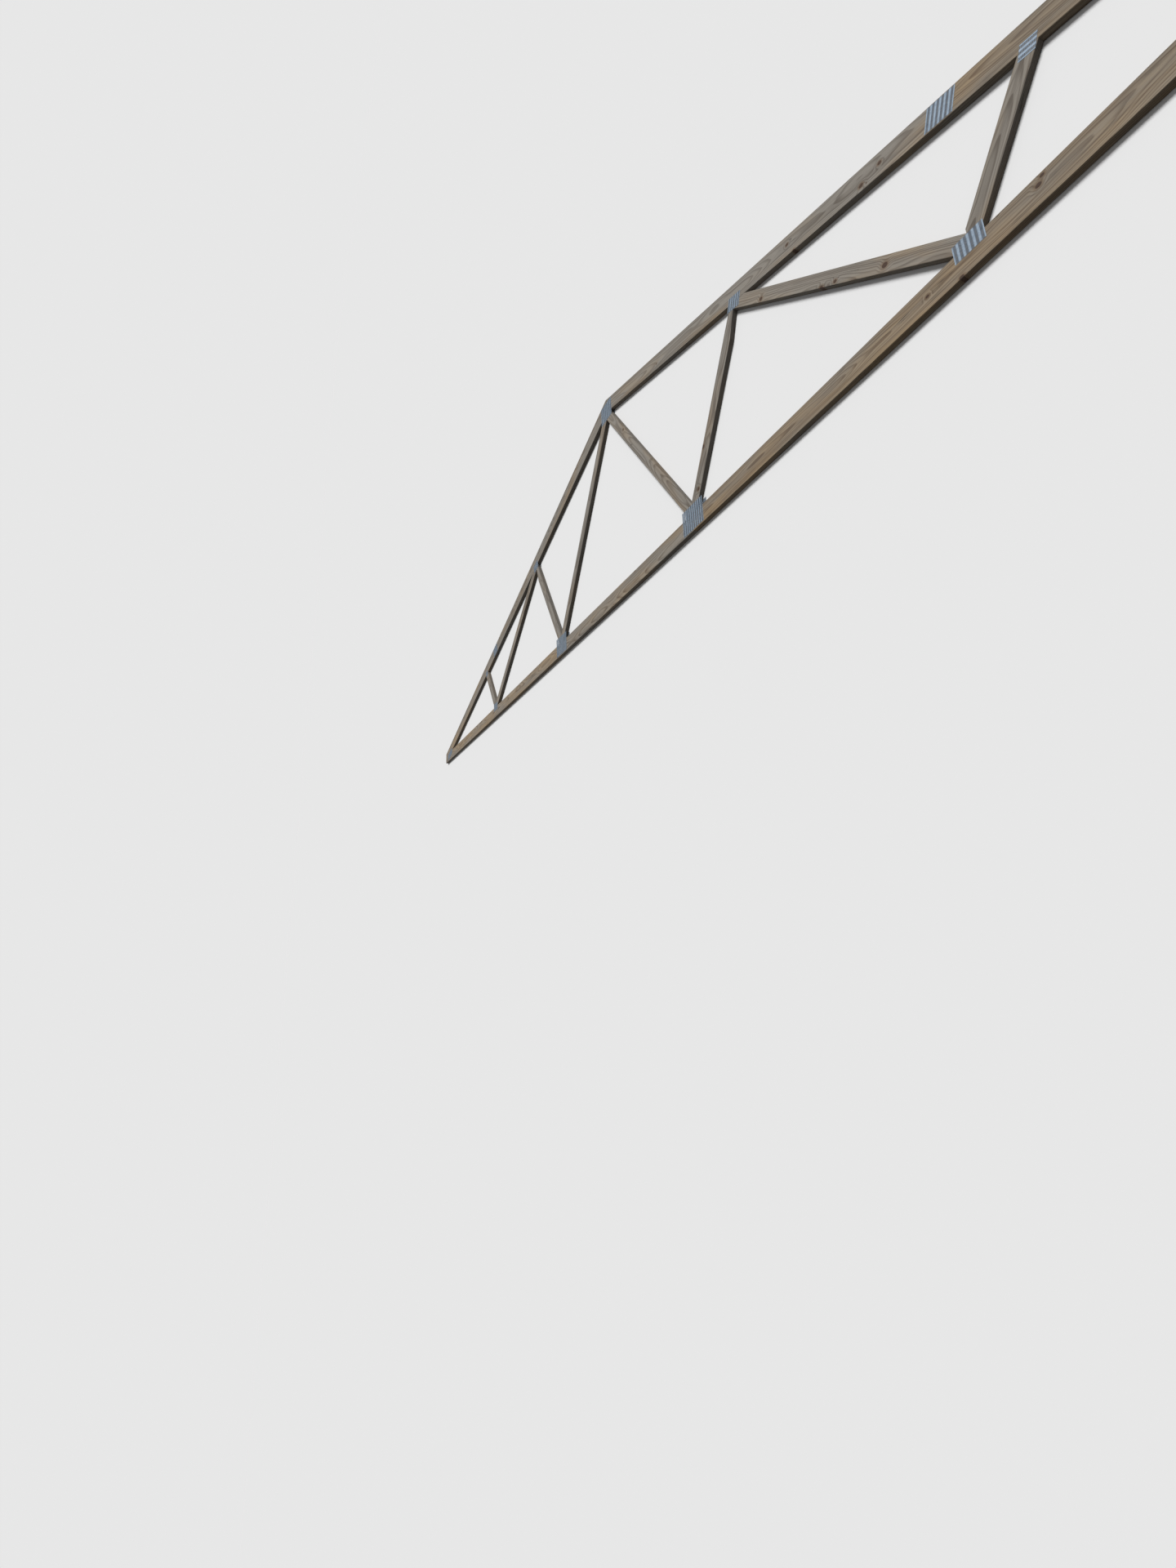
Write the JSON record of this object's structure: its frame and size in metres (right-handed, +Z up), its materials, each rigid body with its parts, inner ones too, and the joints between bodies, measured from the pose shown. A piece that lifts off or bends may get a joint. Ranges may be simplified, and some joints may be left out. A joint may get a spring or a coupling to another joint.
{
  "type": "wooden roof truss",
  "caption": "Gable roof truss of planed softwood boards, with zigzag webs joined to the chords by toothed steel plates, lying flat.",
  "frame": {"origin": "on the floor, under the middle of the outline of the flat-lying truss", "axes": "+X along the span, from the left heel to the right one; +Y from the bottom chord to the peak; +Z up, through the thickness"},
  "size_m": [12.192, 2.1855, 0.0401],
  "materials": {
    "chord_lumber": "planed softwood, weathered grey-brown",
    "web_lumber": "planed softwood, weathered grey-brown",
    "connector_plate": "galvanised sheet with rows of punched slots"
  },
  "bodies": {
    "root": {"bottom_chord_left": "chord_lumber", "bottom_chord_middle": "chord_lumber", "bottom_chord_right": "chord_lumber", "bottom_inner_plate_back_left": "connector_plate", "bottom_inner_plate_back_right": "connector_plate", "bottom_inner_plate_front_left": "connector_plate", "bottom_inner_plate_front_right": "connector_plate", "bottom_outer_plate_back_left": "connector_plate", "bottom_outer_plate_back_right": "connector_plate", "bottom_outer_plate_front_left": "connector_plate", "bottom_outer_plate_front_right": "connector_plate", "heel_plate_back_left": "connector_plate", "heel_plate_back_right": "connector_plate", "heel_plate_front_left": "connector_plate", "heel_plate_front_right": "connector_plate", "peak_plate_back": "connector_plate", "peak_plate_front": "connector_plate", "top_chord_lower_left": "chord_lumber", "top_chord_lower_right": "chord_lumber", "top_chord_upper_left": "chord_lumber", "top_chord_upper_right": "chord_lumber", "top_inner_plate_back_left": "connector_plate", "top_inner_plate_back_right": "connector_plate", "top_inner_plate_front_left": "connector_plate", "top_inner_plate_front_right": "connector_plate", "top_outer_plate_back_left": "connector_plate", "top_outer_plate_back_right": "connector_plate", "top_outer_plate_front_left": "connector_plate", "top_outer_plate_front_right": "connector_plate", "top_splice_plate_back_left": "connector_plate", "top_splice_plate_back_right": "connector_plate", "top_splice_plate_front_left": "connector_plate", "top_splice_plate_front_right": "connector_plate", "web_1_left": "web_lumber", "web_1_right": "web_lumber", "web_2_left": "web_lumber", "web_2_right": "web_lumber", "web_3_left": "web_lumber", "web_3_right": "web_lumber", "web_4_left": "web_lumber", "web_4_right": "web_lumber"}
  },
  "joints": []
}
